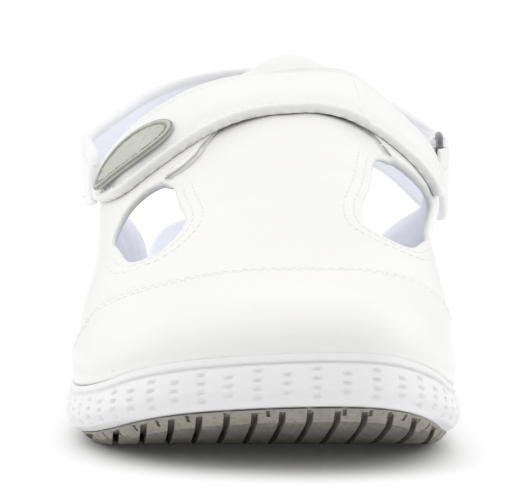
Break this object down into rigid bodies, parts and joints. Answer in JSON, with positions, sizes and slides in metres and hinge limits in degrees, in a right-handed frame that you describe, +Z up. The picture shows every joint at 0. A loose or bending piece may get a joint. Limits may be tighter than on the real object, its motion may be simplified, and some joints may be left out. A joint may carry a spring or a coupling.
{
  "type": "work clog",
  "caption": "White closed-toe work clog for the right foot, with side windows, an instep strap with an oval patch and a heel strap through a loop",
  "frame": {"origin": "on the floor, under the middle of the shoe's length and width", "axes": "+X to the inner side of the foot, -Y to the toe, +Z up"},
  "size_m": [0.1023, 0.263, 0.0915],
  "materials": {
    "grey_rubber": "matt olive-grey rubber, grooved underneath",
    "white_foam": "matt moulded foam with rows of small dimples",
    "lining": "soft lavender-grey lining on the footbed",
    "white_leather": "smooth white leather with a soft sheen",
    "strap_leather": "smooth white leather, padded and stitched",
    "badge_rubber": "matt grey moulded patch",
    "tab_leather": "thin white leather",
    "dark_metal": "dark coated wire",
    "padding": "padded white strap"
  },
  "bodies": {
    "root": {"outsole": "grey_rubber", "midsole": "white_foam", "insole": "lining", "upper": "white_leather", "instep_strap": "strap_leather", "badge": "badge_rubber", "loop_tab": "tab_leather", "strap_loop": "dark_metal", "heel_strap": "padding"}
  },
  "joints": []
}
